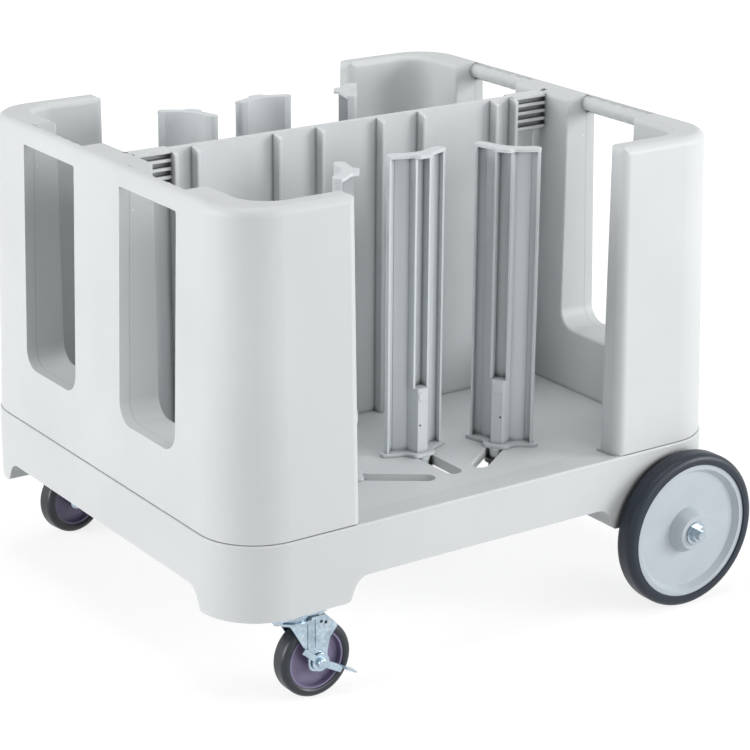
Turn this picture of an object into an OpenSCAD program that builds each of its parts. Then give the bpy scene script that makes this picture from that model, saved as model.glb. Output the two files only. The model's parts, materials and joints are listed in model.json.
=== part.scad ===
// Adjustable plate dispenser cart: a moulded base on two large fixed wheels and two swivel
// casters, two end walls with hand grips, a middle divider and six sliding plate towers.
// X runs along the cart, with the large wheels at the +X end. Z is up and the origin lies on
// the floor under the middle of the overall length. The near side is -Y. The pieces are laid
// out from the middle of the base and moved by half of what the large wheels overhang.

/* [Base] */
// Length of the base along X
base_len = 920; // [890:5:980]
// Width of the base along Y
base_wid = 808; // [780:4:860]
// Plan radius of the base corners
base_r = 96; // [80:2:110]
// Height of the rim of the base above the floor
base_top = 264.5; // [260:0.5:285]
// Height of the underside of the four feet
foot_z = 145.5; // [143:0.5:149]
// Height of the skirt edge between the feet
skirt_z = 183; // [176:0.5:192]
// Drop of the skirt edge at the two ends below that at the long sides
end_drop = 3; // [0:0.5:6]
// Wall thickness of the skirt
skirt_t = 8; // [5:1:12]
// Radius of the upper rim edge
rim_r = 3; // [2:0.5:8]
// Depth of the sunk deck field below the rim
deck_sink = 4.5; // [2:0.5:9]
// Thickness of the deck
deck_t = 16; // [12:1:22]
// Depth of the bolt holes in the feet
pad_t = 12; // [8:1:16]
// Height of the solid feet above the skirt edge
foot_roof = 10; // [6:1:14]
// Length of the caster end feet along X, at the floor side
foot_len_caster = 198; // [185:1:215]
// Length of the wheel end feet along X, at the floor side
foot_len_wheel = 225; // [200:1:240]
// Width of the feet along Y, at the floor side
foot_wid = 96; // [84:1:110]
// Run of the steep part of the ramp beside each foot
ramp_run = 15; // [12:1:18]
// Radius at the top of each ramp
ramp_top_r = 26; // [16:1:28]

/* [End walls] */
// Height of the top of the end walls above the floor
wall_top = 754.5; // [700:0.5:800]
// Step from the base rim to the outer face of the walls
ledge = 2.5; // [1:0.5:6]
// Thickness of an end wall at its foot
end_t = 71.5; // [64:0.5:78]
// Thickness of the returns along the long sides, at their foot
return_t = 51.5; // [46:0.5:58]
// Width of the open side between the returns
side_gap = 480; // [440:5:520]
// Plan radius of the inner corners
inner_r = 50; // [40:1:60]
// Radius of the outer top edge
top_edge_r = 14; // [8:1:18]
// Radius of the inner top edge
inner_edge_r = 10; // [5:1:14]
// Radius of the free upright edges of the returns
return_edge_r = 15; // [8:1:17]
// Inward lean of the outer faces, as a share of the height
lean_share = 0.029; // [0.016:0.001:0.034]

/* [Windows and grips] */
// Width of the pillar between the two windows
pillar_w = 140; // [120:2:160]
// Width of each window
window_w = 165; // [140:1:180]
// Height of the window sill above the floor
sill_z = 363.5; // [330:0.5:400]
// Radius of the lower window corners
window_r = 32; // [20:1:40]
// Height of the grip bar above each window
grip_h = 29; // [26:1:34]
// Radius of the finger side of the grip bar
grip_r = 13.5; // [12:0.5:14]
// Thickness of the outer skin that carries the finger bar
grip_skin = 14; // [12:0.5:17]
// Depth of the finger waves
wave_d = 2; // [1:0.25:3]
// Number of finger waves on each grip
wave_n = 6; // [4:1:7]
// Radius of the inner upright window edges
jamb_r = 4; // [2:1:16]

/* [Divider] */
// Thickness of the divider panel
div_t = 10; // [8:0.5:12]
// Drop of the divider top below the wall tops
div_drop = 3; // [1:0.5:10]
// Thickness of the upright ribs
rib_t = 7; // [5:0.5:9]
// Depth of the upright ribs on each side
rib_out = 18; // [12:1:20]
// Gap between the divider end and the end walls below the tabs
div_relief = 19; // [12:1:24]
// Height of the end tabs
tab_h = 57; // [40:1:60]
// Depth of the sockets in the end walls
socket_d = 12; // [8:1:16]
// Number of level ribs at each end tab
tab_rib_n = 5; // [2:1:6]

/* [Towers] */
// Drop of the tower tops below the wall tops
tower_drop = 13; // [8:1:30]
// Width of a tower face
tower_w = 104; // [96:1:110]
// Width of the hollow in the tower face
face_w = 72; // [60:1:80]
// Depth of the hollow in the tower face
face_d = 11.5; // [8:0.5:13]
// Thickness of the tower skin
skin_t = 4; // [3:0.25:5]
// Depth of the edge ribs
wing_d = 14; // [11:0.5:17]
// Thickness of the edge ribs
wing_t = 3.6; // [3:0.2:5]
// Outer width of the middle channel
channel_w = 29; // [27:0.5:32]
// Depth of the middle channel from the face
channel_d = 30; // [27:0.5:32]
// Thickness of the channel ribs
channel_t = 3.6; // [3:0.2:4.5]
// Width of the nose of the cap plate
nose_w = 23; // [20:0.5:26]
// Depth of the nose of the cap plate from the face
nose_d = 38.5; // [37:0.5:42]
// Thickness of the cap and foot plates
plate_t = 5; // [4:0.25:7]
// Overhang of the foot plate beyond the cap outline
foot_over = 7; // [4:0.5:8]
// Angle of the corner towers to the long side of the cart
tower_turn = 35; // [30:1:40]

/* [Tower settings] */
// Plate diameter set at the near wheel end tower
plate_near_wheel = 258; // [230:1:270]
// Plate diameter set at the near caster end tower
plate_near_caster = 236; // [230:1:270]
// Plate diameter set at the near middle tower
plate_near_middle = 152; // [120:1:170]
// Plate diameter set at the far wheel end tower
plate_far_wheel = 238; // [230:1:270]
// Plate diameter set at the far caster end tower
plate_far_caster = 238; // [230:1:270]
// Plate diameter set at the far middle tower
plate_far_middle = 209; // [120:1:220]
// Largest plate diameter that a corner tower opens to
plate_max = 332; // [310:1:336]
// Smallest plate diameter that a corner tower closes to
plate_min = 124; // [118:1:180]
// Largest plate diameter that a middle tower opens to
plate_mid_max = 232; // [222:1:236]
// Smallest plate diameter that a middle tower closes to
plate_mid_min = 93; // [88:1:116]

/* [Locks] */
// Width of the deck slots
slot_w = 28; // [26:0.5:30]
// Height of the lock housing on the foot plate
lock_h = 105; // [95:1:120]
// Width of the front of the lock housing
lock_w = 19.6; // [19.2:0.2:21]
// Depth of the front of the lock housing from the tower face
lock_d = 36.5; // [35:0.5:37]
// Diameter of the release button
button_d = 17.6; // [15:0.2:18]
// Travel of the release button
button_travel = 3; // [2:0.25:4]
// Depth of the button centre below the housing top
button_drop = 13; // [12:0.5:20]
// Distance of the draw stud from the tower face
stud_off = 30; // [28:0.5:31]
// Diameter of the draw stud
stud_d = 8; // [6:0.5:10]
// Diameter of the clamp foot under the deck
clamp_d = 40; // [34:1:46]
// Thickness of the clamp foot
clamp_t = 8; // [6:0.5:12]

/* [Large wheels] */
// Diameter of the large wheels over the tread
wheel_d = 255.2; // [248:0.1:260]
// Width of the tread of the large wheels
wheel_w = 38; // [32:1:42]
// Distance of the large wheel axle from the middle of the base
wheel_x = 362; // [350:1:372]
// Gap between the base side and the large wheel
wheel_gap = 5; // [4:0.5:10]
// Diameter of the hub rim of the large wheels
hub_d = 222; // [200:1:226]
// Diameter of the axle
axle_d = 16; // [14:0.5:20]

/* [Casters] */
// Diameter of the caster wheels
caster_d = 119.6; // [116:0.1:122]
// Width of the caster wheels
caster_w = 32; // [28:1:34]
// Distance of the caster swivel axis from the middle of the base
caster_x = 345; // [338:1:350]
// Distance of the caster centre line inside the base side
caster_in = 31.6; // [31:0.2:36]
// Turn of the far caster about its swivel
far_turn = 9.5; // [0:0.5:20]
// Trail of the caster wheel
trail = 35.4; // [32:0.2:40]
// Diameter of the caster wheel core
core_d = 93; // [84:1:95]
// Length of the caster mounting plate
mount_len = 92; // [88:1:100]
// Width of the caster mounting plate
mount_wid = 58; // [56:1:60]
// Thickness of the fork metal
fork_t = 3.5; // [2.5:0.25:4]

/* [Hidden] */
$fn = 64;

// Colours of the mouldings, the metal and the tyres
GREY = [0.80, 0.83, 0.84];
PALE = [0.78, 0.82, 0.85];
DARK = [0.15, 0.17, 0.21];
CAST = [0.22, 0.25, 0.27];
CORE = [0.42, 0.38, 0.52];
ZINC = [0.72, 0.78, 0.82];
BLACK = [0.08, 0.08, 0.09];

// Clearances
over = 1;          // overrun of every cut
slack = 0.3;       // gap between faces that slide past each other
fit = 0.05;        // radial clearance of a shaft in its bore
seat = 0.2;        // gap of a loose fit between fixed pieces

// Levels and faces worked out from the driving sizes
overhang = wheel_x + wheel_d / 2 - base_len / 2;
field_z = base_top - deck_sink;
deck_under = field_z - deck_t;
wall_h = wall_top - base_top;
wall_hx = base_len / 2 - ledge;
wall_hy = base_wid / 2 - ledge;
wall_r = base_r - ledge;
in_hx = wall_hx - end_t;
in_hy = wall_hy - return_t;
top_hx = wall_hx - lean_share * wall_h;
grip_under = wall_top - grip_h;
grip_in = top_hx - grip_skin;
window_y = (pillar_w + window_w) / 2;
lean = atan(lean_share);

// Divider
div_top = wall_top - div_drop;
div_hx = in_hx - div_relief;
tab_hx = in_hx + socket_d - seat;
tab_under_r = 16;  // radius under each tab
rib_low = 1;       // drop of the rib tops below the divider top
rib_drop = 4;      // fall of the rib tops to their outer ends
rib_top_r = 5;     // radius at the outer ends of the rib tops
rib_r = 2.2;       // radius of the rib edges
rib_shares = [0.155, 0.37, 0.765, 0.872];  // rib places as shares of the half length
tab_rib_t = 5;     // thickness of the level ribs
tab_rib_out = 9;   // depth of the level ribs on each side
rib_face = div_t / 2 + rib_out;

// Tower section
face_r = (pow(face_w / 2, 2) + pow(face_d, 2)) / (2 * face_d);
tip_r = 8;         // radius of the inner wing corners
wing_r = 3;        // radius of the outer wing corners
nose_r = 2.5;      // radius of the nose corners
waist_r = 7;       // radius of the hollow beside the nose
waist_d = 28;      // depth at which the nose begins
waist_w = 34;      // width of the outline where the nose begins
cap_wing_d = 15;   // depth of the wings of the cap plate
tower_foot = field_z + slack;
foot_top = tower_foot + plate_t;
tower_top = wall_top - tower_drop;

// Places of the towers: side, end (0 is the middle) and plate diameter
TOWERS = [[-1, -1, plate_near_caster], [-1, 0, plate_near_middle], [-1, 1, plate_near_wheel],
    [1, -1, plate_far_caster], [1, 0, plate_far_middle], [1, 1, plate_far_wheel]];
plate_gap = 2;     // gap round a plate column
function rest_reach(d) = d / 2 + plate_gap;
// Distance of the stud from the corner of its compartment, along the slot, for a plate size
function corner_x(d) = in_hx - rest_reach(d) * (1 + cos(tower_turn));
function corner_y(d) = rib_face + rest_reach(d) * (1 + sin(tower_turn));
function middle_y(d) = rib_face + 2 * rest_reach(d);
function tower_angle(t) = t[1] == 0 ? t[0] * 90 : atan2(t[0] * sin(tower_turn), -t[1] * cos(tower_turn));
// The corner slots run through the near wheel end tower's place
function tower_at(t) = t[1] == 0 ? [0, t[0] * middle_y(t[2])]
    : let(d0 = plate_near_wheel, s = (corner_x(t[2]) - corner_x(d0)) / cos(tower_turn))
    [t[1] * corner_x(t[2]), t[0] * (corner_y(d0) - s * sin(tower_turn))];
function slot_reach(t, d) = t[1] == 0 ? middle_y(d) - middle_y(t[2])
    : (corner_x(t[2]) - corner_x(d)) / cos(tower_turn);
slot_play = 0.8;   // gap between the stud boss and the slot walls
boss_d = slot_w - 2 * slot_play;
boss_off = 35;     // distance of the boss from the tower face
boss_taper = 3;    // taper of the boss on each side
stud_up = 55;      // length of the stud inside the housing
lock_base_w = channel_w;
lock_back = face_d + skin_t + slack;
lock_r = 1.6;      // radius of the housing front edges
pin_side = 5.4;    // offset of the small hole to one side
pin_up = 45;       // height of the small hole above the foot plate
pin_deep = 2.5;    // depth of the small hole
pin_d = 3.5;
button_proud = 1;  // stand of the button in front of the housing
button_len = 12;   // length of the button head
button_r = 1;      // radius of the button edge
stem_d = 7;        // diameter of the button stem
hex_af = 24;       // width across flats of the clamp nut
hex_t = 9;         // thickness of the clamp nut
stud_tail = 4;     // length of the stud below the nut

// Large wheels
axle_z = wheel_d / 2;
wheel_y = base_wid / 2 + wheel_gap + wheel_w / 2;
tread_r = 11;      // radius of the tread shoulders
bead_in = 1.5;     // depth of the tyre bead inside the hub rim
rim_in = 3;        // step of the hub rim inside the tyre face
rim_lip = 7.5;     // width of the hub rim lip
rim_slope = 7;     // run of the sloped wall inside the rim lip
dish_face = 7;     // offset of the outer dish face from the wheel centre
dish_t = 6;        // thickness of the dish
hub_base_r = 38;   // radius of the hub boss at the dish
hub_face_r = 28;   // radius of the hub boss at its face
hub_out = 27;      // offset of the hub face from the wheel centre
hub_back = 18.5;   // offset of the inner hub face from the wheel centre
bush_r = 12;       // outer radius of the bushings
bush_len = 14;     // length of each bushing
washer_r = 19;     // radius of the outer washers
washer_t = 2.5;    // thickness of the outer washers
nut_af = 24;       // width across flats of the axle nuts
nut_t = 8;         // thickness of the axle nuts
axle_end = 6;      // length of the axle beyond its nut
spacer_r = 13;     // radius of the spacers beside the brackets
bracket_w = 60;    // width of the axle brackets along Y
bracket_in = 13;   // distance of the bracket inside the base side
bracket_plate_t = 4;
bracket_plate_l = 100;
bracket_r = 17;    // radius of the bracket round the axle
bracket_bolt_x = 38;

// Casters
caster_r = caster_d / 2;
caster_y = base_wid / 2 - caster_in;
mount_t = 4;       // thickness of the mounting plate
race_r = 27;       // radius of the swivel race
race_h = 8;        // height of the swivel race
crown_z = foot_z - mount_t - race_h - slack;
fork_gap = 2;      // gap between the wheel and each fork leg
fork_out = caster_w / 2 + fork_gap + fork_t;
crown_r = 31;      // radius of the fork crown
leg_boss_r = 14;   // radius of the fork leg round the axle
leg_side = 19;     // reach of the leg behind the axle
leg_waist = 18.5;  // reach of the leg at its waist
leg_knee = 39;     // height of the waist below the crown
leg_reach = 32.5;  // reach of the leg at its widest
leg_tip = 22;      // height of the widest place below the crown
leg_back = 16;     // reach of the leg behind the swivel axis
crown_end = 11;    // reach of the crown beyond the wheel axle
leg_round_r = 13;  // radius of the lower corners of the leg
leg_bend_r = 6;
leg_end_r = 3;
leg_rib_w = 4;     // width of the pressed ribs in each leg
leg_rib_out = 1.2; // height of the pressed ribs
leg_rib_at = [17, 30];
leg_rib_low = caster_r + leg_boss_r + leg_bend_r;
leg_hole_r = 2.5;  // radius of the small holes in each leg
leg_hole_at = [[38.5, 10], [46.5, 13]];
caster_bolt_d = 12;
bolt_head_r = 8;
bolt_head_t = 7;
lever_t = 3;       // thickness of the brake lever
lever_r = 14;      // radius of the brake lever round the bolt
tyre_edge_r = 8;   // radius of the caster tread shoulders
tyre_wall = 10;    // width of the flat side of the caster tread
core_web_t = 7;    // thickness of the core web
core_rim_w = 26;   // width of the core rim
core_rim_t = 3;    // thickness of the core rim
core_hub_r = 15;   // radius of the core hub
core_hub_w = caster_w + 2 * fork_gap - 2 * slack;
mount_bolt_r = 4;
mount_head_r = 6.5;
mount_head_t = 5;
mount_bolt_x = 36;
mount_bolt_y = 20;
wall_bolt_shares = [0.45, 0.9];

// Move from the middle of the base to the middle of the overall length
module from_base() {
    translate([-overhang / 2, 0, 0]) children();
}
// Outline with rounded corners. Radii go with the points, which run anticlockwise. A corner
// that bends outward gets a circle, and a corner that bends inward loses one.
function unit(v) = v / norm(v);
function at(p, i) = p[(i + len(p)) % len(p)];
function leg_a(p, i) = unit(at(p, i - 1) - p[i]);
function leg_b(p, i) = unit(at(p, i + 1) - p[i]);
function half_angle(p, i) = acos(leg_a(p, i) * leg_b(p, i)) / 2;
function is_out(p, i) = leg_a(p, i)[0] * leg_b(p, i)[1] - leg_a(p, i)[1] * leg_b(p, i)[0] < 0;
function back_off(p, i, r) = r / tan(half_angle(p, i));
function mid_point(p, i, r) = p[i] + unit(leg_a(p, i) + leg_b(p, i)) * r / sin(half_angle(p, i));
module outline(p, radii) {
    difference() {
        union() {
            polygon([for (i = [0 : len(p) - 1]) each (radii[i] == 0 ? [p[i]]
                : [p[i] + leg_a(p, i) * back_off(p, i, radii[i]), p[i] + leg_b(p, i) * back_off(p, i, radii[i])])]);
            for (i = [0 : len(p) - 1]) if (radii[i] > 0 && is_out(p, i))
                translate(mid_point(p, i, radii[i])) circle(radii[i]);
        }
        for (i = [0 : len(p) - 1]) if (radii[i] > 0 && !is_out(p, i))
            translate(mid_point(p, i, radii[i])) circle(radii[i]);
    }
}
// Corner tool: what a round edge of radius r takes off a square edge at [r, r]
module edge_cut(r) {
    difference() {
        square(r + over);
        circle(r);
    }
}
// Solid that is w wide and h long, with corners of radius r at y = 0 and an open end at y = h.
// Its section, drawn from the corner centre outward, is the child.
module u_form(w, h, r, d) {
    for (s = [-1, 1]) {
        translate([s * (w / 2 - r), r, 0]) rotate_extrude() children();
        scale_side(s) translate([w / 2 - r, h, 0]) rotate([90, 0, 0]) linear_extrude(h - r) children();
    }
    translate([0, r, 0]) rotate([90, 0, -90]) linear_extrude(w - 2 * r, center = true) children();
    translate([-(w / 2 - r), r, 0]) cube([w - 2 * r, h - r, d]);
}
module scale_side(s) {
    if (s > 0) children();
    else mirror([1, 0, 0]) children();
}
module pocket_section(r, d, flare) {
    square([r, d + over]);
    translate([r, d - flare]) difference() {
        square([flare, flare + over]);
        translate([flare, 0]) circle(flare);
    }
}

// Base: one moulding, open below, with four closed feet
module half_block() {
    h = base_top - foot_z;
    translate([-base_len / 2, 0, foot_z]) rotate([0, 0, -90])
        u_form(base_wid, base_len / 2, base_r, h)
            outline([[0, 0], [base_r, 0], [base_r, h], [0, h]], [0, 0, rim_r, 0]);
}
module arch_section(x0, x1, rise) {
    // Gap between two feet, from x0 to x1 at the floor side, with steep sides and round tops
    outline([[x0 - ramp_foot_r, -over], [x1 + ramp_foot_r, -over], [x1 + ramp_foot_r, 0], [x1, 0],
        [x1 - ramp_run, rise], [x0 + ramp_run, rise], [x0, 0], [x0 - ramp_foot_r, 0]],
        [0, 0, 0, ramp_foot_r, ramp_top_r, ramp_top_r, ramp_foot_r, 0]);
}
ramp_foot_r = 9;   // radius at the bottom of each ramp
module rounded_box(hx, hy, r, h) {
    linear_extrude(h) outline([[-hx, -hy], [hx, -hy], [hx, hy], [-hx, hy]], [r, r, r, r]);
}
module slot(t) {
    out = slot_reach(t, t[1] == 0 ? plate_mid_max : plate_max) + slot_end;
    in = slot_reach(t, t[1] == 0 ? plate_mid_min : plate_min) - slot_end;
    translate(tower_at(t)) rotate([0, 0, tower_angle(t)]) translate([boss_off, 0, deck_under - over])
        linear_extrude(deck_t + 2 * over) {
            translate([in, -slot_w / 2]) square([out - in, slot_w]);
            for (x = [in, out]) translate([x, 0]) circle(slot_w / 2);
        }
}
slot_end = 1;      // play at the ends of the slots
module base() {
    arch_x = [foot_len_caster - base_len / 2, base_len / 2 - foot_len_wheel];
    arch_y = base_wid / 2 - foot_wid;
    in_x = base_len / 2 - skirt_t;
    in_y = base_wid / 2 - skirt_t;
    run = ramp_run + ramp_top_r;
    color(GREY) from_base() difference() {
        union() {
            half_block();
            mirror([1, 0, 0]) half_block();
        }
        // Sunk field, which slopes up to the rim at the open sides
        translate([0, 0, field_z]) rounded_box(in_hx, in_hy, inner_r, deck_sink + over);
        for (s = [-1, 1]) scale_y(s) rotate([90, 0, 90])
            linear_extrude(side_gap, center = true)
                polygon([[in_hy - over, field_z], [in_hy, field_z], [base_wid / 2 - rim_r, base_top],
                    [base_wid / 2 - rim_r, base_top + over], [in_hy - over, base_top + over]]);
        // Hollow underside over the solid feet, open below between them
        translate([0, 0, skirt_z + foot_roof])
            rounded_box(in_x, in_y, base_r - skirt_t, deck_under - skirt_z - foot_roof);
        translate([arch_x[0] + run, -in_y, foot_z - over])
            cube([arch_x[1] - arch_x[0] - 2 * run, 2 * in_y, skirt_z + foot_roof - foot_z + 2 * over]);
        translate([-in_x, run - arch_y, foot_z - over])
            cube([2 * in_x, 2 * (arch_y - run), skirt_z + foot_roof - foot_z + 2 * over]);
        // Arches between the feet
        translate([0, base_wid / 2 + over, foot_z]) rotate([90, 0, 0]) linear_extrude(base_wid + 2 * over)
            arch_section(arch_x[0], arch_x[1], skirt_z - foot_z);
        translate([-base_len / 2 - over, 0, foot_z]) rotate([90, 0, 90]) linear_extrude(base_len + 2 * over)
            arch_section(-arch_y, arch_y, skirt_z - end_drop - foot_z);
        for (t = TOWERS) slot(t);
        mount_holes(mount_bolt_r + seat);
        wall_holes();
    }
}
module scale_y(s) {
    if (s > 0) children();
    else mirror([0, 1, 0]) children();
}

// End walls: a U-shaped moulding with two windows and two grips
module wall_blank() {
    u_form(2 * wall_hy, wall_hx - side_gap / 2, wall_r, wall_h)
        outline([[0, 0], [wall_r, 0], [wall_r - lean_share * wall_h, wall_h], [0, wall_h]],
            [0, seam_r, top_edge_r, 0]);
}
module return_edges() {
    // Upright free edges and the top edge of each return
    for (s = [-1, 1]) scale_side(s) {
        translate([wall_hy, wall_hx - side_gap / 2, 0]) rotate([0, -lean, 0]) translate([-return_edge_r, -return_edge_r, -over])
            linear_extrude(wall_h + 2 * over) edge_cut(return_edge_r);
        translate([in_hy, wall_hx - side_gap / 2, -over]) translate([return_edge_r, -return_edge_r, 0]) mirror([1, 0, 0])
            linear_extrude(wall_h + 2 * over) edge_cut(return_edge_r);
        translate([in_hy - over, wall_hx - side_gap / 2 - top_edge_r, wall_h - top_edge_r]) rotate([90, 0, 90])
            linear_extrude(return_t + 2 * over) edge_cut(top_edge_r);
    }
}
module window_cut(y) {
    h = grip_under - sill_z;
    translate([-wall_hx - over, y, 0]) rotate([90, 0, 90]) linear_extrude(end_t + over)
        outline([[-window_w / 2, sill_z], [window_w / 2, sill_z], [window_w / 2, grip_under], [-window_w / 2, grip_under]],
            [window_r, window_r, window_top_r, window_top_r]);
    depth = grip_in - in_hx;
    translate([-grip_in, y, sill_z]) rotate([90, 0, 90])
        u_form(window_w, wall_top - sill_z + over, window_r, depth + over) pocket_section(window_r, depth, jamb_r);
}
seam_r = 2;        // radius of the lower edge, which draws a dark seam on the base
window_top_r = 4;  // radius of the upper window corners
module grip_bar(y) {
    // Finger bar: a round bar with shallow waves all round
    bar_len = window_w + 2 * bar_in;
    pitch = (bar_len - 2 * over) / wave_n;
    wave_r = (pow(pitch / 2, 2) + pow(wave_d, 2)) / (2 * wave_d);
    translate([-grip_in, y, wall_top - grip_h / 2]) rotate([90, 0, 0]) translate([0, 0, -bar_len / 2])
        rotate_extrude() difference() {
            square([grip_r, bar_len]);
            for (i = [0 : wave_n - 1])
                translate([grip_r + wave_r - wave_d, over + (i + 1 / 2) * pitch]) circle(wave_r);
        }
}
bar_in = 5;        // run of the finger bar into the wall at each end
module end_wall() {
    difference() {
        union() {
            difference() {
                translate([-wall_hx, 0, base_top]) rotate([0, 0, -90]) difference() {
                    wall_blank();
                    translate([0, end_t, -over])
                        u_form(2 * in_hy, in_hx - side_gap / 2 + over, inner_r, wall_h + 2 * over)
                            pocket_section(inner_r, wall_h + over, inner_edge_r);
                    return_edges();
                }
                for (s = [-1, 1]) window_cut(s * window_y);
            }
            for (s = [-1, 1]) grip_bar(s * window_y);
        }
        // Socket for the divider tab
        translate([-in_hx - socket_d, -div_t / 2 - seat, div_top - tab_h - seat])
            cube([socket_d + over, div_t + 2 * seat, tab_h + div_drop + seat + over]);
        wall_holes();
    }
}
module caster_end_wall() { color(GREY) from_base() end_wall(); }
module wheel_end_wall() { color(GREY) from_base() mirror([1, 0, 0]) end_wall(); }

// Divider: a panel with upright ribs, and tabs with level ribs that seat in the end walls
module divider_panel() {
    color(GREY) from_base() {
        translate([0, div_t / 2, 0]) rotate([90, 0, 0]) linear_extrude(div_t)
            outline([[-div_hx, field_z], [div_hx, field_z], [div_hx, div_top - tab_h], [tab_hx, div_top - tab_h],
                [tab_hx, div_top], [-tab_hx, div_top], [-tab_hx, div_top - tab_h], [-div_hx, div_top - tab_h]],
                [0, 0, tab_under_r, 0, 0, 0, 0, tab_under_r]);
        for (s = [-1, 1]) for (q = rib_shares) translate([s * q * div_hx, 0, 0]) upright_rib();
        level_ribs();
    }
}
module upright_rib() {
    intersection() {
        translate([0, 0, field_z]) linear_extrude(div_top - field_z)
            outline([[-rib_t / 2, -rib_face], [rib_t / 2, -rib_face], [rib_t / 2, rib_face], [-rib_t / 2, rib_face]],
                [rib_r, rib_r, rib_r, rib_r]);
        rotate([90, 0, 90]) linear_extrude(2 * rib_t, center = true)
            outline([[-rib_face, field_z], [rib_face, field_z], [rib_face, div_top - rib_low - rib_drop],
                [div_t / 2, div_top - rib_low], [-div_t / 2, div_top - rib_low], [-rib_face, div_top - rib_low - rib_drop]],
                [0, 0, rib_top_r, 0, 0, rib_top_r]);
    }
}
module level_ribs() {
    // Level ribs beside each tab
    x0 = rib_shares[3] * div_hx;
    pitch = (tab_h - tab_rib_t) / (tab_rib_n - 1);
    for (s = [-1, 1]) for (i = [0 : tab_rib_n - 1])
        translate([s > 0 ? x0 : -in_hx + slack, -div_t / 2 - tab_rib_out, div_top - tab_h + i * pitch])
            cube([in_hx - slack - x0, div_t + 2 * tab_rib_out, tab_rib_t]);
}

// Towers: a hollowed skin with edge ribs, a middle channel, and a cap and a foot plate
module tower_outline(grow) {
    w = tower_w / 2 + grow;
    waist = waist_w / 2 + grow;
    nose = nose_w / 2 + grow;
    outline([[0, -w], [cap_wing_d, -w], [waist_d, -waist], [nose_d + grow, -nose], [nose_d + grow, nose],
        [waist_d, waist], [cap_wing_d, w], [0, w]],
        [tip_r, wing_r, waist_r + grow, nose_r + grow / 2, nose_r + grow / 2, waist_r + grow, wing_r, tip_r]);
}
module face_circle(r) {
    translate([face_d - face_r, 0]) circle(r, $fn = 96);
}
module tower_section() {
    intersection() {
        tower_outline(-section_in);
        difference() {
            union() {
                // Flat lobes and hollow skin
                translate([0, -tower_w / 2]) square([skin_t, tower_w]);
                intersection() {
                    face_circle(face_r + skin_t);
                    translate([0, -face_w / 2]) square([channel_d, face_w]);
                }
                for (s = [-1, 1]) scale_y(s) {
                    translate([0, tower_w / 2 - wing_t - section_in]) square([wing_d, wing_t]);
                    translate([face_d, channel_w / 2 - channel_t]) square([channel_d - face_d, channel_t]);
                }
            }
            face_circle(face_r);
        }
    }
}
section_in = 0.6;  // inset of the tower section inside its cap
module lock_place(t) {
    from_base() translate(tower_at(t)) rotate([0, 0, tower_angle(t)]) children();
}
module tower_body(t) {
    lock_place(t) color(GREY) difference() {
        union() {
            translate([0, 0, foot_top - over]) linear_extrude(tower_top - foot_top) tower_section();
            translate([0, 0, tower_top - plate_t]) linear_extrude(plate_t) difference() {
                tower_outline(0);
                face_circle(face_r);
            }
            translate([0, 0, tower_foot]) linear_extrude(plate_t) difference() {
                tower_outline(foot_over);
                face_circle(face_r);
            }
        }
        // Room for the lock housing, and the hole for the draw stud
        translate([lock_back, -channel_w / 2 - over, foot_top]) cube([nose_d, channel_w + 2 * over, lock_h + slack]);
        translate([stud_off, 0, tower_foot - over]) cylinder(plate_t + 2 * over, d = stud_d + 2 * seat);
    }
}

// Lock: housing, release button, draw stud and clamp foot
module lock_housing(t) {
    lock_place(t) color(GREY) difference() {
        translate([0, 0, foot_top]) linear_extrude(lock_h)
            outline([[lock_back, -lock_base_w / 2], [lock_d, -lock_w / 2], [lock_d, lock_w / 2], [lock_back, lock_base_w / 2]],
                [0, lock_r, lock_r, 0]);
        // Button bore and stem bore
        translate([lock_d, 0, foot_top + lock_h - button_drop]) rotate([0, -90, 0]) {
            translate([0, 0, -over]) cylinder(button_len - button_proud + button_travel + slack + over, d = button_d + 2 * fit);
            cylinder(lock_d, d = stem_d + 2 * fit);
        }
        translate([stud_off, 0, foot_top - over]) cylinder(stud_up + over + seat, d = stud_d + 2 * seat);
        // Small hole in the front
        translate([lock_d, (t[1] == 0 ? 1 : -1) * t[0] * pin_side, foot_top + pin_up]) rotate([0, -90, 0])
            translate([0, 0, -over]) cylinder(pin_deep + over, d = pin_d);
    }
}
module release_button(t) {
    lock_place(t) color(PALE) translate([lock_d + button_proud, 0, foot_top + lock_h - button_drop]) rotate([0, -90, 0]) {
        rotate_extrude() outline([[0, 0], [button_d / 2, 0], [button_d / 2, button_len], [0, button_len]], [0, button_r, 0, 0]);
        cylinder(lock_d + button_proud - lock_back - button_travel - slack, d = stem_d);
    }
}
module draw_stud(t) {
    lock_place(t) color(PALE) {
        translate([boss_off, 0, deck_under - slack]) cylinder(tower_foot - deck_under + slack, d1 = boss_d - 2 * boss_taper, d2 = boss_d);
        translate([stud_off, 0, deck_under - slack - clamp_t - hex_t - stud_tail])
            cylinder(foot_top + stud_up - deck_under + slack + clamp_t + hex_t + stud_tail, d = stud_d);
    }
}
module clamp_foot(t) {
    lock_place(t) color(BLACK) translate([stud_off, 0, deck_under - slack - clamp_t]) difference() {
        union() {
            cylinder(clamp_t, d = clamp_d);
            translate([0, 0, -hex_t]) cylinder(hex_t, d = hex_af / cos(30), $fn = 6);
        }
        translate([0, 0, -hex_t - over]) cylinder(hex_t + clamp_t + 2 * over, d = stud_d + 2 * seat);
    }
}

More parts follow.
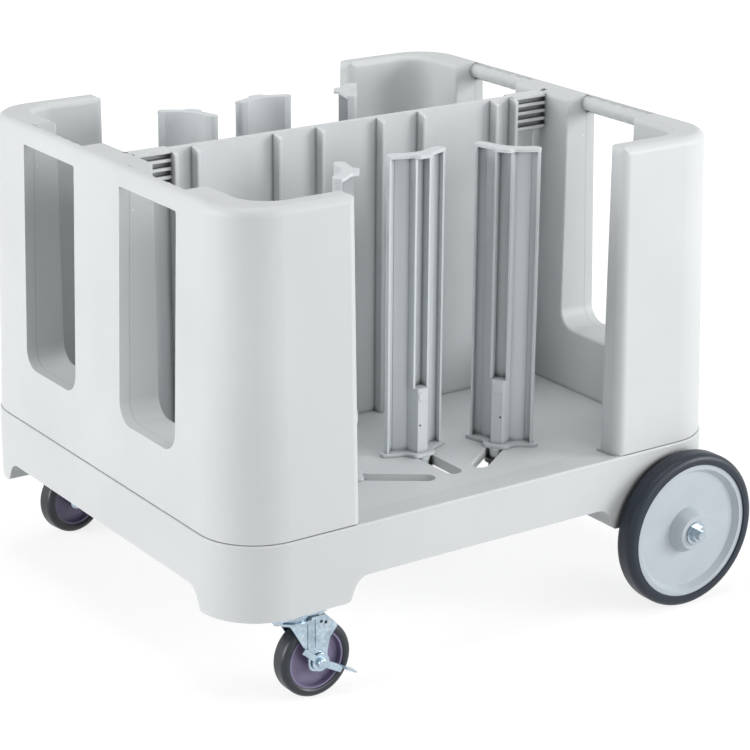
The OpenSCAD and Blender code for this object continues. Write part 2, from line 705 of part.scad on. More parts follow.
// Large wheels: a tyre on a dished hub with two bushings
module at_wheel(s) {
    from_base() translate([wheel_x, s * wheel_y, axle_z]) scale_y(s) rotate([-90, 0, 0]) children();
}
module wheel_tyre(s) {
    bead_r = hub_d / 2 - bead_in + seat;
    at_wheel(s) color(DARK) rotate_extrude($fn = 128) intersection() {
        outline([[bead_r, -wheel_w / 2 + rim_in], [hub_d / 2, -wheel_w / 2], [wheel_d / 2, -wheel_w / 2],
            [wheel_d / 2, wheel_w / 2], [hub_d / 2, wheel_w / 2], [bead_r, wheel_w / 2 - rim_in]],
            [0, 0, tread_r, tread_r, 0, 0]);
        translate([bead_r, -wheel_w / 2]) square([wheel_d / 2 - bead_r, wheel_w]);
    }
}
module wheel_hub(s) {
    r = hub_d / 2 - bead_in;
    out = wheel_w / 2 - rim_in;
    lip_r = r - rim_lip;
    at_wheel(s) color(PALE) rotate_extrude($fn = 128) {
        polygon([[r, -out], [r, out], [lip_r, out], [lip_r - rim_slope, dish_face],
            [lip_r - rim_slope, dish_face - dish_t], [lip_r, -out]]);
        translate([bush_r, dish_face - dish_t]) square([r - bush_r, dish_t]);
        polygon([[bush_r, -hub_back], [hub_face_r, -hub_back], [hub_base_r, dish_face - dish_t],
            [hub_base_r, dish_face], [hub_face_r, hub_out], [bush_r, hub_out]]);
    }
}
module wheel_bushings(s) {
    at_wheel(s) color(BLACK) for (z = [-hub_back, hub_out - bush_len]) translate([0, 0, z])
        rotate_extrude() translate([axle_d / 2 + fit, 0]) square([bush_r - axle_d / 2 - fit, bush_len]);
}
module axle() {
    len = 2 * (wheel_y + hub_out + slack + washer_t + nut_t + axle_end);
    color(ZINC) from_base() translate([wheel_x, len / 2, axle_z]) rotate([90, 0, 0]) cylinder(len, d = axle_d);
}
bracket_y = base_wid / 2 - bracket_in - bracket_w;
module axle_brackets() {
    color(ZINC) from_base() for (s = [-1, 1]) scale_y(s) difference() {
        union() {
            translate([wheel_x - bracket_plate_l / 2, bracket_y, foot_z - bracket_plate_t])
                cube([bracket_plate_l, bracket_w, bracket_plate_t]);
            translate([wheel_x, bracket_y + bracket_w, axle_z]) rotate([90, 0, 0]) cylinder(bracket_w, r = bracket_r);
            translate([wheel_x - bracket_r, bracket_y, axle_z]) cube([2 * bracket_r, bracket_w, foot_z - axle_z]);
        }
        translate([wheel_x, bracket_y - over, axle_z]) rotate([-90, 0, 0])
            cylinder(bracket_w + 2 * over, d = axle_d + 2 * fit);
        mount_holes(mount_bolt_r + seat);
    }
}
module axle_spacers() {
    // Inner spacers and outer washers
    inner = bracket_y + bracket_w;
    color(ZINC) from_base() for (s = [-1, 1]) scale_y(s) translate([wheel_x, 0, axle_z]) rotate([-90, 0, 0]) {
        translate([0, 0, inner]) tube(spacer_r, axle_d / 2 + fit, wheel_y - hub_back - slack - inner);
        translate([0, 0, wheel_y + hub_out + slack]) tube(washer_r, axle_d / 2 + fit, washer_t);
    }
}
module axle_nuts() {
    color(ZINC) from_base() for (s = [-1, 1]) scale_y(s)
        translate([wheel_x, wheel_y + hub_out + slack + washer_t, axle_z]) rotate([-90, 0, 0]) difference() {
            cylinder(nut_t, d = nut_af / cos(30), $fn = 6);
            translate([0, 0, -over]) cylinder(nut_t + 2 * over, d = axle_d + 2 * fit);
        }
}
module tube(ro, ri, h) {
    difference() {
        cylinder(h, r = ro);
        translate([0, 0, -over]) cylinder(h + 2 * over, r = ri);
    }
}

// Casters: mounting plate with race, fork, wheel and axle bolt
module at_caster(s) {
    from_base() translate([-caster_x, s * caster_y, 0]) scale_y(s) children();
}
module at_fork(s) {
    at_caster(s) rotate([0, 0, s > 0 ? far_turn : 0]) children();
}
module caster_plate(s) {
    at_caster(s) color(ZINC) difference() {
        union() {
            translate([0, 0, foot_z - mount_t])
                rounded_box(mount_len / 2, mount_wid / 2, plate_corner_r, mount_t);
            translate([0, 0, foot_z - mount_t - race_h]) cylinder(race_h, r1 = race_r - slack * 2, r2 = race_r);
        }
        for (x = [-1, 1]) for (y = [-1, 1])
            translate([x * mount_bolt_x, y * mount_bolt_y, foot_z - mount_t - over])
                cylinder(mount_t + 2 * over, r = mount_bolt_r + seat);
    }
}
plate_corner_r = 6;
module leg_outline() {
    // Side outline of a fork leg: x from the swivel axis, y above the floor
    outline([[trail - leg_side, caster_r - leg_boss_r], [trail + leg_boss_r, caster_r - leg_boss_r],
        [trail + leg_boss_r, caster_r + leg_boss_r], [trail + leg_waist, crown_z - leg_knee],
        [trail + leg_reach, crown_z - leg_tip], [trail + crown_end, crown_z], [-leg_back, crown_z],
        [-leg_back, crown_z - fork_t], [trail - leg_side, caster_r + leg_boss_r]],
        [leg_round_r, leg_round_r, 0, leg_bend_r, leg_end_r, 0, 0, 0, leg_bend_r]);
}
module caster_fork(s) {
    at_fork(s) color(ZINC) difference() {
        union() {
            translate([0, 0, crown_z - fork_t]) cylinder(fork_t, r = crown_r);
            translate([-leg_back, -fork_out, crown_z - fork_t])
                cube([leg_back + trail + crown_end, 2 * fork_out, fork_t]);
            for (y = [-fork_out, fork_out - fork_t]) translate([0, y + fork_t, 0]) rotate([90, 0, 0])
                linear_extrude(fork_t) leg_outline();
            // Upright pressed ribs on the outer faces
            for (y = [-1, 1]) for (x = leg_rib_at)
                translate([x, y * (fork_out - over / 2 + leg_rib_out / 2), (leg_rib_low + crown_z) / 2])
                    cube([leg_rib_w, leg_rib_out + over, crown_z - leg_rib_low - 2 * leg_rib_w], center = true);
        }
        translate([trail, fork_out + 2 * over, caster_r]) rotate([90, 0, 0])
            cylinder(2 * fork_out + 4 * over, d = caster_bolt_d + 2 * fit);
        for (h = leg_hole_at) translate([h[0], fork_out + 2 * over, crown_z - h[1]]) rotate([90, 0, 0])
            cylinder(2 * fork_out + 4 * over, r = leg_hole_r);
    }
}
module at_caster_wheel(s) {
    at_fork(s) translate([trail, 0, caster_r]) rotate([-90, 0, 0]) children();
}
module caster_core(s) {
    at_caster_wheel(s) color(CORE) rotate_extrude() {
        translate([caster_bolt_d / 2 + fit, -core_hub_w / 2]) square([core_hub_r - caster_bolt_d / 2 - fit, core_hub_w]);
        translate([core_hub_r - over, -core_web_t / 2]) square([core_d / 2 - core_hub_r, core_web_t]);
        translate([core_d / 2 - core_rim_t, -core_rim_w / 2]) square([core_rim_t, core_rim_w]);
    }
}
module caster_tyre(s) {
    in_r = core_d / 2 + seat;
    at_caster_wheel(s) color(CAST) rotate_extrude() intersection() {
        outline([[in_r, -core_rim_w / 2], [caster_r - tyre_wall, -caster_w / 2], [caster_r, -caster_w / 2],
            [caster_r, caster_w / 2], [caster_r - tyre_wall, caster_w / 2], [in_r, core_rim_w / 2]],
            [0, 0, tyre_edge_r, tyre_edge_r, 0, 0]);
        translate([in_r, -caster_w / 2]) square([caster_r - in_r, caster_w]);
    }
}
module caster_bolt(s) {
    // Axle bolt with its head outside and its nut inside
    out = fork_out + leg_rib_out + (s < 0 ? lever_t + 2 * slack : slack);
    at_caster_wheel(s) color(ZINC) {
        translate([0, 0, -fork_out - leg_rib_out - bolt_head_t - over]) cylinder(2 * fork_out, d = caster_bolt_d);
        cylinder(out + over, d = caster_bolt_d);
        translate([0, 0, out]) rotate_extrude()
            outline([[0, 0], [bolt_head_r, 0], [bolt_head_r, bolt_head_t], [0, bolt_head_t]], [0, 0, bolt_dome_r, 0]);
        translate([0, 0, -fork_out - leg_rib_out - slack - bolt_head_t]) cylinder(bolt_head_t, r = bolt_head_r, $fn = 6);
    }
}
bolt_dome_r = 3;   // radius of the bolt head edge
module brake_lever() {
    // Bar that turns on the axle bolt, with a cam at one end and a pedal at the other
    at_fork(-1) color(ZINC) translate([trail, fork_out + slack + leg_rib_out, caster_r]) {
        translate([0, lever_t, 0]) rotate([90, 0, 0]) linear_extrude(lever_t) difference() {
            union() {
                circle(lever_r);
                rotate(cam_turn) translate([0, -cam_w / 2]) square([cam_len, cam_w]);
                rotate(-pedal_turn) translate([0, -pedal_w / 2]) square([pedal_len, pedal_w]);
            }
            circle(d = caster_bolt_d + 2 * seat);
        }
        // Foot pad of the pedal, bent outward
        rotate([0, pedal_turn, 0]) translate([pedal_len - over, 0, pedal_w / 2 - lever_t])
            cube([pad_len, pad_w, lever_t]);
    }
}
cam_turn = 140;    // angle of the cam end to level
cam_len = 39;      // reach of the cam end from the axle
cam_w = 9;
pedal_turn = 29;   // fall of the pedal below level
pedal_len = 42;    // reach of the pedal from the axle
pedal_w = 11;
pad_len = 20;      // length of the foot pad
pad_w = 14;        // width of the foot pad

// Fasteners
module mount_holes(r) {
    for (s = [-1, 1]) for (y = [-1, 1]) for (x = [-1, 1]) {
        translate([-caster_x + x * mount_bolt_x, s * caster_y + y * mount_bolt_y, foot_z - mount_head_t - mount_t])
            cylinder(mount_t + mount_head_t + pad_t + over, r = r);
        translate([wheel_x + x * bracket_bolt_x, s * (bracket_y + bracket_w / 2) + y * mount_bolt_y, foot_z - mount_head_t - mount_t])
            cylinder(mount_t + mount_head_t + pad_t + over, r = r);
    }
}
module mount_bolts() {
    color(ZINC) from_base() for (s = [-1, 1]) for (y = [-1, 1]) for (x = [-1, 1]) {
        translate([-caster_x + x * mount_bolt_x, s * caster_y + y * mount_bolt_y, foot_z - mount_t]) mount_bolt();
        translate([wheel_x + x * bracket_bolt_x, s * (bracket_y + bracket_w / 2) + y * mount_bolt_y, foot_z - mount_t]) mount_bolt();
    }
}
module mount_bolt() {
    translate([0, 0, -mount_head_t]) cylinder(mount_head_t, r = mount_head_r, $fn = 6);
    translate([0, 0, -over]) cylinder(mount_t + pad_t + over, r = mount_bolt_r);
}
wall_bolt_up = 30;
module wall_bolt_places() {
    for (s = [-1, 1]) for (q = wall_bolt_shares) for (x = [-1, 1])
        translate([x * (in_hx + end_t / 2), s * q * (in_hy - inner_r), deck_under]) children();
}
module wall_holes() {
    wall_bolt_places() translate([0, 0, -over]) cylinder(base_top - deck_under + wall_bolt_up + over, r = mount_bolt_r + seat);
}
module wall_bolts() {
    color(ZINC) from_base() wall_bolt_places() {
        translate([0, 0, -mount_head_t]) cylinder(mount_head_t, r = mount_head_r, $fn = 6);
        translate([0, 0, -over]) cylinder(base_top - deck_under + wall_bolt_up, r = mount_bolt_r);
    }
}

base();
caster_end_wall();
wheel_end_wall();
divider_panel();
tower_body(TOWERS[0]);  // tower_near_caster
tower_body(TOWERS[1]);  // tower_near_middle
tower_body(TOWERS[2]);  // tower_near_wheel
tower_body(TOWERS[3]);  // tower_far_caster
tower_body(TOWERS[4]);  // tower_far_middle
tower_body(TOWERS[5]);  // tower_far_wheel
lock_housing(TOWERS[0]);  // lock_housing_near_caster
lock_housing(TOWERS[1]);  // lock_housing_near_middle
lock_housing(TOWERS[2]);  // lock_housing_near_wheel
lock_housing(TOWERS[3]);  // lock_housing_far_caster
lock_housing(TOWERS[4]);  // lock_housing_far_middle
lock_housing(TOWERS[5]);  // lock_housing_far_wheel
release_button(TOWERS[0]);  // release_button_near_caster
release_button(TOWERS[1]);  // release_button_near_middle
release_button(TOWERS[2]);  // release_button_near_wheel
release_button(TOWERS[3]);  // release_button_far_caster
release_button(TOWERS[4]);  // release_button_far_middle
release_button(TOWERS[5]);  // release_button_far_wheel
draw_stud(TOWERS[0]);  // draw_stud_near_caster
draw_stud(TOWERS[1]);  // draw_stud_near_middle
draw_stud(TOWERS[2]);  // draw_stud_near_wheel
draw_stud(TOWERS[3]);  // draw_stud_far_caster
draw_stud(TOWERS[4]);  // draw_stud_far_middle
draw_stud(TOWERS[5]);  // draw_stud_far_wheel
clamp_foot(TOWERS[0]);  // clamp_foot_near_caster
clamp_foot(TOWERS[1]);  // clamp_foot_near_middle
clamp_foot(TOWERS[2]);  // clamp_foot_near_wheel
clamp_foot(TOWERS[3]);  // clamp_foot_far_caster
clamp_foot(TOWERS[4]);  // clamp_foot_far_middle
clamp_foot(TOWERS[5]);  // clamp_foot_far_wheel
axle();
axle_brackets();
axle_spacers();
axle_nuts();
wheel_tyre(-1);  // wheel_tyre_near
wheel_tyre(1);  // wheel_tyre_far
wheel_hub(-1);  // wheel_hub_near
wheel_hub(1);  // wheel_hub_far
wheel_bushings(-1);  // wheel_bushings_near
wheel_bushings(1);  // wheel_bushings_far
caster_plate(-1);  // caster_plate_near
caster_plate(1);  // caster_plate_far
caster_fork(-1);  // caster_fork_near
caster_fork(1);  // caster_fork_far
caster_core(-1);  // caster_core_near
caster_core(1);  // caster_core_far
caster_tyre(-1);  // caster_tyre_near
caster_tyre(1);  // caster_tyre_far
caster_bolt(-1);  // caster_bolt_near
caster_bolt(1);  // caster_bolt_far
brake_lever();
mount_bolts();
wall_bolts();
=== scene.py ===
import json

import bpy
from mathutils import Matrix, Vector


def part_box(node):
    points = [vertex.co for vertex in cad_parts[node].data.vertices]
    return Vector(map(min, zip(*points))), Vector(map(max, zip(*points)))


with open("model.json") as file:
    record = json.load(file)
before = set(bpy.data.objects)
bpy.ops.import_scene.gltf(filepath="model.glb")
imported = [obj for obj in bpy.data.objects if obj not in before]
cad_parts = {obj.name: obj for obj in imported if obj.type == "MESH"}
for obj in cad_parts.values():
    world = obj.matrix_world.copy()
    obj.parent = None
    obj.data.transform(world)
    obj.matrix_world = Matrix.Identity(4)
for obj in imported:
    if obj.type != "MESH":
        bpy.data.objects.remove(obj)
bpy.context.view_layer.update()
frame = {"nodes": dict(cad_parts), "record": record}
record = frame["record"]

# Photograph's frame and lens, in pixels
PHOTO_PX = 750.0
FOCAL_PX = 2416.85
CENTRE_PX = (353.75, 368.85)
SENSOR_MM = 36.0

# Marks left by the mould of the end walls, in metres: the parting line, where it shows, and the
# pins, which look drawn out along Y. PIN_RIM holds squared distances from a pin's middle.
WALL_LEAN = 0.029
PARTING_PLACE, PARTING_REACH = 0.4480, 0.0011
WINDOW_MIDDLE, WINDOW_HALF, WINDOW_FADE = 0.1525, 0.0850, 0.01
PIN_PLACE = (0.4222, 0.6865)
PIN_SIDES = (0.0700, 0.2350)
PIN_DRAWN_OUT = 0.1
PIN_RIM = (1.0e-6, 3.2e-6)

# Studio, in metres; the floor lies just under the wheels and whitens with distance
LAMP_AIM = (0.0, 0.0, 0.4)
FLOOR_HALF, FLOOR_DROP = 9.0, 0.0006
FLOOR_WHITENS = (0.9, 3.0)


# Camera, stage and lamps

def place_camera():
    """The photograph's viewpoint: right, up and back axes, then the place, in metres."""
    right = Vector((0.8288903, -0.5594025, 0.0031177))
    up = Vector((0.1800152, 0.2720046, 0.9453084))
    back = Vector((-0.5296559, -0.7829957, 0.3261630))
    place = Vector((-2.08015, -3.07615, 1.61893))
    data = bpy.data.cameras.new("photo_camera")
    data.sensor_width = SENSOR_MM
    data.lens = SENSOR_MM * FOCAL_PX / PHOTO_PX
    data.shift_x = 0.5 - CENTRE_PX[0] / PHOTO_PX
    data.shift_y = CENTRE_PX[1] / PHOTO_PX - 0.5
    data.clip_start, data.clip_end = 0.05, 60.0
    camera = bpy.data.objects.new("photo_camera", data)
    camera.matrix_world = Matrix.Translation(place) @ Matrix((right, up, back)).transposed().to_4x4()
    bpy.context.scene.collection.objects.link(camera)
    bpy.context.scene.camera = camera


def softbox(name, place, width, height, watts):
    """White rectangular lamp aimed at the middle of the cart."""
    data = bpy.data.lights.new(name, "AREA")
    data.shape = "RECTANGLE"
    data.size, data.size_y = width, height
    data.energy = watts
    lamp = bpy.data.objects.new(name, data)
    lamp.location = place
    beam = Vector(LAMP_AIM) - Vector(place)
    lamp.rotation_euler = beam.to_track_quat("-Z", "Y").to_euler()
    bpy.context.scene.collection.objects.link(lamp)


# Shader maths

class Socket:
    """One output in a material; arithmetic on it adds Math nodes."""

    def __init__(self, finish, output):
        self.finish = finish
        self.output = output

    def maths(self, operation, *values):
        return self.finish.node("ShaderNodeMath", {"operation": operation}, values)

    def __add__(self, other):
        return self.maths("ADD", self, other)

    def __sub__(self, other):
        return self.maths("SUBTRACT", self, other)

    def __rsub__(self, other):
        return self.maths("SUBTRACT", other, self)

    def __mul__(self, other):
        return self.maths("MULTIPLY", self, other)

    def __abs__(self):
        return self.maths("ABSOLUTE", self)

    __radd__ = __add__
    __rmul__ = __mul__

    def higher(self, other):
        return self.maths("MAXIMUM", self, other)

    def between(self, low, high):
        """0 below low, 1 above high, and a smooth step from one to the other."""
        settings = {"interpolation_type": "SMOOTHSTEP"}
        return self.finish.node("ShaderNodeMapRange", settings, (self, low, high))

    def within(self, reach):
        """1 where this is 0, and 0 where it is further than reach from 0."""
        return 1.0 - abs(self).between(0.35 * reach, reach)


class Finish:
    """One procedural material, or the world: node() adds a node from type, settings and inputs."""

    def __init__(self, owner, end="ShaderNodeOutputMaterial"):
        owner.use_nodes = True
        self.owner = owner
        self.nodes = owner.node_tree.nodes
        self.links = owner.node_tree.links
        self.nodes.clear()
        self.end = self.nodes.new(end)

    def node(self, kind, settings, inputs=(), output=0):
        made = self.nodes.new(kind)
        for key, value in settings.items():
            setattr(made, key, value)
        pairs = inputs.items() if isinstance(inputs, dict) else enumerate(inputs)
        for key, value in pairs:
            socket = made.inputs[key]
            if isinstance(value, Socket):
                self.links.new(value.output, socket)
            elif socket.type == "RGBA":
                socket.default_value = (*value, 1.0)
            else:
                socket.default_value = value
        return Socket(self, made.outputs[output])

    def place(self):
        return self.node("ShaderNodeTexCoord", {}, (), "Object")

    def axes(self, vector):
        """The three coordinates of a vector, as plain numbers."""
        return [self.node("ShaderNodeSeparateXYZ", {}, (vector,), axis) for axis in "XYZ"]

    def vector(self, operation, *values, output="Vector"):
        return self.node("ShaderNodeVectorMath", {"operation": operation}, values, output)

    def noise(self, scale, detail=2.0, rough=0.5, stretch=None, where=None):
        where = where or self.place()
        if stretch:
            where = self.vector("MULTIPLY", where, stretch)
        inputs = {"Vector": where, "Scale": scale, "Detail": detail, "Roughness": rough}
        return self.node("ShaderNodeTexNoise", {}, inputs)

    def blend(self, amount, first, second):
        settings = {"data_type": "RGBA"}
        return self.node("ShaderNodeMix", settings, {0: amount, 6: first, 7: second}, 2)

    def openness(self, reach):
        """1 on open faces, falling towards 0 in seams and corners; the finishes use it to paint shade
        there.
        """
        inputs = {"Distance": reach}
        return self.node("ShaderNodeAmbientOcclusion", {"samples": 8}, inputs, "AO")

    def worn_and_highlit_edges(self, radius):
        """High along the edges; the finishes lighten them there, partly as wear and partly as a
        painted highlight on the rounded rims.
        """
        flat = self.node("ShaderNodeNewGeometry", {}, (), "Normal")
        soft = self.node("ShaderNodeBevel", {"samples": 4}, {"Radius": radius})
        return (1.0 - self.vector("DOT_PRODUCT", flat, soft, output="Value")).between(0.01, 0.12)

    def bump(self, height, strength, distance, below=None):
        inputs = {"Strength": strength, "Distance": distance, "Height": height}
        if below:
            inputs["Normal"] = below
        return self.node("ShaderNodeBump", {}, inputs)

    def seen_directly(self):
        """1 for camera, mirror and see-through rays, 0 for the light that falls on the cart."""
        rays = ("Is Camera Ray", "Is Glossy Ray", "Is Transmission Ray")
        camera, glossy, through = [self.node("ShaderNodeLightPath", {}, (), ray) for ray in rays]
        return camera.higher(glossy).higher(through)

    def surface(self, **inputs):
        named = {key.replace("_", " "): value for key, value in inputs.items()}
        shader = self.node("ShaderNodeBsdfPrincipled", {}, named)
        self.links.new(shader.output, self.end.inputs["Surface"])
        return self.owner


def shade(colour, share):
    """A colour made darker, or lighter where the share is above 1."""
    return tuple(channel * share for channel in colour)


def new_finish(name):
    """An empty material of that name, ready for nodes."""
    return Finish(bpy.data.materials.new(name))


# Finishes

def mould_marks(m):
    """Parting line round the windows and the small round marks of the mould's pins."""
    low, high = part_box("base")
    x, y, z = m.axes(m.place())
    out = abs(x - (low[0] + high[0]) / 2)
    in_window = 1.0 - abs(abs(y) - WINDOW_MIDDLE).between(WINDOW_HALF, WINDOW_HALF + WINDOW_FADE)
    line = (out + WALL_LEAN * z - PARTING_PLACE).within(PARTING_REACH) * in_window
    pins = None
    for side in PIN_SIDES:
        dx, dy, dz = out - PIN_PLACE[0], abs(y) - side, z - PIN_PLACE[1]
        apart = dx * dx + dy * dy * PIN_DRAWN_OUT + dz * dz
        pin = 1.0 - apart.between(*PIN_RIM)
        pins = pins.higher(pin) if pins else pin
    return line, pins


def moulded_grey(name, pale, rough=0.46, grain=1.0, marked=False):
    """Pale satin moulded plastic: drift of colour, draw lines, flecks, edges lightened as wear and
    painted highlight, painted shade in seams and recesses.
    """
    m = new_finish(name)
    drift = m.noise(4.5, 3.0, 0.55)
    fleck = m.noise(430.0, 2.0, 0.6)
    drawn = m.noise(1.0, 3.0, 0.6, (150.0, 150.0, 3.0))
    # Edges lightened: partly wear, partly a painted highlight along the rounded rims.
    edge_wear_and_sheen = m.worn_and_highlit_edges(0.0035)
    colour = m.blend(drift.between(0.32, 0.68), pale, shade(pale, 0.955))
    colour = m.blend(drawn.between(0.48, 0.72) * 0.14, colour, shade(pale, 0.93))
    colour = m.blend(fleck.between(0.56, 0.74) * 0.12, colour, shade(pale, 0.80))
    colour = m.blend(edge_wear_and_sheen * 0.30, colour, shade(pale, 1.10))
    roughness = rough + 0.10 * (drift - 0.5) + 0.08 * (fleck - 0.5) - 0.07 * edge_wear_and_sheen
    waves = m.bump(m.noise(8.0, 1.0, 0.4), 0.08, 0.004)
    lines = m.bump(drawn, 0.02 * grain, 0.0005, waves)
    skin = m.bump(fleck, 0.14 * grain, 0.0004, lines)
    if marked:
        line, pins = mould_marks(m)
        colour = m.blend(line * 0.45, colour, shade(pale, 0.62))
        colour = m.blend(pins, colour, (0.93, 0.94, 0.94))
        skin = m.bump(pins - line, 0.5, 0.0006, skin)
    # Painted shade: colour darkened by ambient occlusion in recesses and interiors, and strongly in
    # seams between parts.
    painted_recess_shade = m.openness(0.20).between(0.05, 0.85)
    painted_seam_shade = m.openness(0.012).between(0.15, 0.80)
    colour = m.blend(painted_recess_shade, shade(pale, 0.74), colour)
    colour = m.blend(painted_seam_shade, shade(pale, 0.16), colour)
    return m.surface(Base_Color=colour, Roughness=roughness, Normal=skin,
                     IOR=1.46, Specular_IOR_Level=0.42)


def radius_from_axle(m, node):
    """Distance from the axle of a wheel, and the place across its width."""
    low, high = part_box(node)
    hub = [(a + b) / 2 for a, b in zip(low, high)]
    x, y, z = m.axes(m.place())
    dx, dz = x - hub[0], z - hub[2]
    return m.node("ShaderNodeMath", {"operation": "SQRT"}, (dx * dx + dz * dz,)), abs(y) - abs(hub[1])


def ringed_noise(m, radius, across, scale):
    """Noise that is the same all the way round the axle, as a turned mould leaves it."""
    where = m.node("ShaderNodeCombineXYZ", {}, (radius, across, 0.0))
    return m.noise(scale, 2.0, 0.5, where=where)


def wheel_rubber(name, dark, node):
    """Moulded solid tyre: turned rings, a flash line round the tread, faint scuffs and dust."""
    m = new_finish(name)
    radius, across = radius_from_axle(m, node)
    rings = ringed_noise(m, radius, across, 420.0)
    scuff = m.noise(60.0, 5.0, 0.65)
    dust = m.noise(11.0, 3.0, 0.6)
    flash = across.within(0.0008)
    colour = m.blend(dust.between(0.35, 0.75) * 0.6, dark, shade(dark, 1.35))
    colour = m.blend(rings.between(0.5, 0.7) * 0.3, colour, shade(dark, 1.5))
    colour = m.blend(scuff.between(0.62, 0.72) * 0.22, colour, shade(dark, 2.4))
    colour = m.blend(flash * 0.4, colour, shade(dark, 1.9))
    roughness = 0.33 + 0.18 * scuff
    grain = m.bump(m.noise(700.0, 2.0), 0.18, 0.0004)
    turned = m.bump(rings, 0.10, 0.0004, grain)
    ridge = m.bump(flash, 0.5, 0.0006, turned)
    return m.surface(Base_Color=colour, Roughness=roughness, Normal=ridge, Specular_IOR_Level=0.4)


def caster_rubber(name, dark):
    """Smoother tread of the casters, scuffed and dusty where it rolls."""
    m = new_finish(name)
    scuff = m.noise(95.0, 5.0, 0.65)
    dust = m.noise(22.0, 3.0, 0.6)
    colour = m.blend(dust.between(0.35, 0.75) * 0.6, dark, shade(dark, 1.4))
    colour = m.blend(scuff.between(0.60, 0.72) * 0.3, colour, shade(dark, 2.2))
    grain = m.bump(m.noise(900.0, 2.0), 0.16, 0.0003)
    return m.surface(Base_Color=colour, Roughness=0.27 + 0.2 * scuff, Normal=grain,
                     Specular_IOR_Level=0.5)


def zinc(name, tint, rough):
    """Bright zinc plating: blue passivation that drifts to straw, spangle and rolling marks, with
    painted shade in crevices.
    """
    m = new_finish(name)
    cloud = m.noise(46.0, 3.0, 0.6)
    spangle = m.noise(240.0, 2.0, 0.5)
    rolled = m.noise(90.0, 2.0, 0.6, (1.0, 1.0, 14.0))
    colour = m.blend(cloud.between(0.3, 0.72), tint, shade(tint, 0.72))
    colour = m.blend(spangle.between(0.5, 0.7) * 0.35, colour, (0.76, 0.81, 0.83))
    # Painted shade: darker in crevices, by ambient occlusion.
    colour = m.blend(m.openness(0.006).between(0.1, 0.7), shade(tint, 0.25), colour)
    roughness = rough + 0.14 * (cloud - 0.5) + 0.10 * (rolled - 0.5)
    dents = m.bump(cloud, 0.12, 0.0008)
    lines = m.bump(rolled, 0.12, 0.0002, dents)
    return m.surface(Base_Color=colour, Metallic=0.94, Roughness=roughness, Normal=lines)


def hub_plastic(name, pale, node):
    """Pale wheel centre: light gloss, turned rings and painted shade where it meets the tyre and in
    its hollows.
    """
    m = new_finish(name)
    radius, across = radius_from_axle(m, node)
    rings = ringed_noise(m, radius, across, 300.0)
    drift = m.noise(14.0, 3.0)
    colour = m.blend(drift.between(0.3, 0.7), pale, shade(pale, 0.94))
    colour = m.blend(rings.between(0.5, 0.72) * 0.35, colour, shade(pale, 0.92))
    # Painted shade: darker where the hub meets the tyre and in hollows, by ambient occlusion.
    colour = m.blend(m.openness(0.010).between(0.1, 0.75), shade(pale, 0.45), colour)
    roughness = 0.33 + 0.10 * (m.noise(80.0, 3.0) - 0.5)
    skin = m.bump(m.noise(500.0, 2.0), 0.06, 0.0003)
    turned = m.bump(rings, 0.05, 0.0003, skin)
    return m.surface(Base_Color=colour, Roughness=roughness, Normal=turned, Specular_IOR_Level=0.45)


def core_plastic(name, violet):
    """Violet-grey caster wheel centre, cloudy and satin, with edges lightened as wear and painted
    highlight, and painted shade in its hollows.
    """
    m = new_finish(name)
    drift = m.noise(40.0, 3.0)
    rub_and_sheen = m.worn_and_highlit_edges(0.0015)
    colour = m.blend(drift.between(0.3, 0.7), violet, shade(violet, 0.80))
    # Edges lightened: partly wear, partly a painted highlight.
    colour = m.blend(rub_and_sheen * 0.45, colour, shade(violet, 1.9))
    # Painted shade: darker in hollows, by ambient occlusion.
    colour = m.blend(m.openness(0.008).between(0.1, 0.8), shade(violet, 0.35), colour)
    roughness = 0.36 + 0.12 * (m.noise(120.0, 3.0) - 0.5)
    skin = m.bump(m.noise(600.0, 2.0), 0.10, 0.0003)
    return m.surface(Base_Color=colour, Roughness=roughness, Normal=skin, Specular_IOR_Level=0.45)


def black_plastic(name):
    """Black fibre-filled nylon, satin, with a few pale fibres at the surface."""
    m = new_finish(name)
    drift = m.noise(70.0, 3.0)
    fibres = m.noise(500.0, 2.0, 0.6)
    colour = m.blend(drift, (0.012, 0.012, 0.014), (0.024, 0.024, 0.027))
    colour = m.blend(fibres.between(0.6, 0.75) * 0.4, colour, (0.06, 0.06, 0.06))
    skin = m.bump(fibres, 0.15, 0.0003)
    return m.surface(Base_Color=colour, Roughness=0.36 + 0.2 * (drift - 0.5), Normal=skin)


# Studio

def make_floor():
    """White floor: it looks white, keeps a soft shadow and throws some light up at the cart."""
    m = new_finish("studio_floor")
    seen = m.seen_directly()
    paint = m.blend(seen, (0.80, 0.80, 0.80), (0.34, 0.34, 0.34))
    away = m.vector("LENGTH", m.place(), output="Value").between(*FLOOR_WHITENS)
    white = m.blend(away, (0.80, 0.80, 0.80), (1.0, 1.0, 1.0))
    glow = m.blend(seen, (0.0, 0.0, 0.0), white)
    m.surface(Base_Color=paint, Roughness=0.9, Specular_IOR_Level=0.0,
              Emission_Color=glow, Emission_Strength=1.0)
    far = FLOOR_HALF
    corners = [(-far, -far, 0.0), (far, -far, 0.0), (far, far, 0.0), (-far, far, 0.0)]
    data = bpy.data.meshes.new("floor")
    data.from_pydata(corners, [], [(0, 1, 2, 3)])
    floor = bpy.data.objects.new("floor", data)
    floor.location.z = -FLOOR_DROP
    floor.data.materials.append(m.owner)
    bpy.context.scene.collection.objects.link(floor)


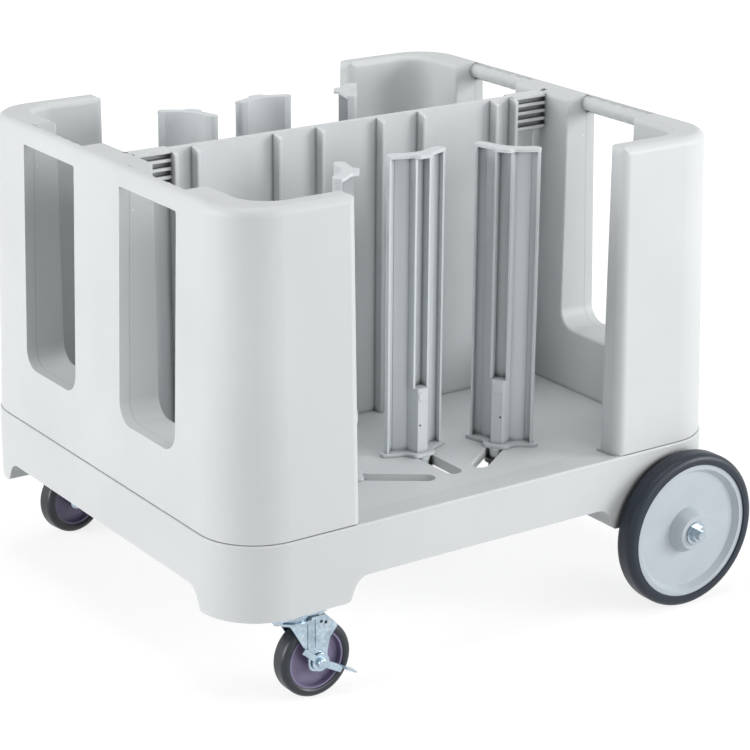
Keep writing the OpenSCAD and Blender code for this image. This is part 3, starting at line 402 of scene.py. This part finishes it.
def make_world():
    """Low even light, with plain white behind the cart and in its reflections."""
    w = Finish(bpy.data.worlds.new("studio"), "ShaderNodeOutputWorld")
    sky = w.blend(w.seen_directly(), (0.16, 0.16, 0.16), (1.0, 1.0, 1.0))
    light = w.node("ShaderNodeBackground", {}, {"Color": sky, "Strength": 1.0})
    w.links.new(light.output, w.end.inputs["Surface"])
    bpy.context.scene.world = w.owner


place_camera()
make_world()
make_floor()
softbox("lamp_left", (-5.1, 1.0, 1.5), 3.0, 2.2, 178)
softbox("lamp_right", (4.2, -4.0, 1.8), 2.6, 2.4, 205)
softbox("lamp_front", (0.6, -5.4, 2.2), 3.0, 2.6, 66)
softbox("lamp_top", (0.0, 0.0, 4.6), 3.0, 3.0, 75)

body_grey, violet_grey = (0.690, 0.715, 0.725), (0.250, 0.215, 0.350)
finishes = {
    "body_plastic": moulded_grey("body_plastic", body_grey, marked=True),
    "divider_plastic": moulded_grey("divider_plastic", (0.735, 0.762, 0.772), 0.42, 0.8),
    "tower_plastic": moulded_grey("tower_plastic", (0.735, 0.770, 0.790), 0.40, 0.7),
    "button_plastic": moulded_grey("button_plastic", (0.740, 0.775, 0.795), 0.34, 0.5),
    "clamp_black": black_plastic("clamp_black"),
    "zinc_steel": zinc("zinc_steel", (0.50, 0.58, 0.64), 0.22),
    "zinc_plate": zinc("zinc_plate", (0.46, 0.57, 0.66), 0.24),
    "wheel_rubber": wheel_rubber("wheel_rubber", (0.011, 0.018, 0.031), "wheel_tyre_near"),
    "hub_plastic": hub_plastic("hub_plastic", (0.520, 0.575, 0.620), "wheel_hub_near"),
    "bushing_black": black_plastic("bushing_black"),
    "core_plastic": core_plastic("core_plastic", violet_grey),
    "caster_rubber": caster_rubber("caster_rubber", (0.012, 0.017, 0.023)),
}
slots = {entry["node"]: entry["material_slot"] for entry in record["subparts"]}
for name, node in frame["nodes"].items():
    node.data.materials.clear()
    node.data.materials.append(finishes[slots[name]])

bpy.context.scene.view_settings.view_transform = "Standard"
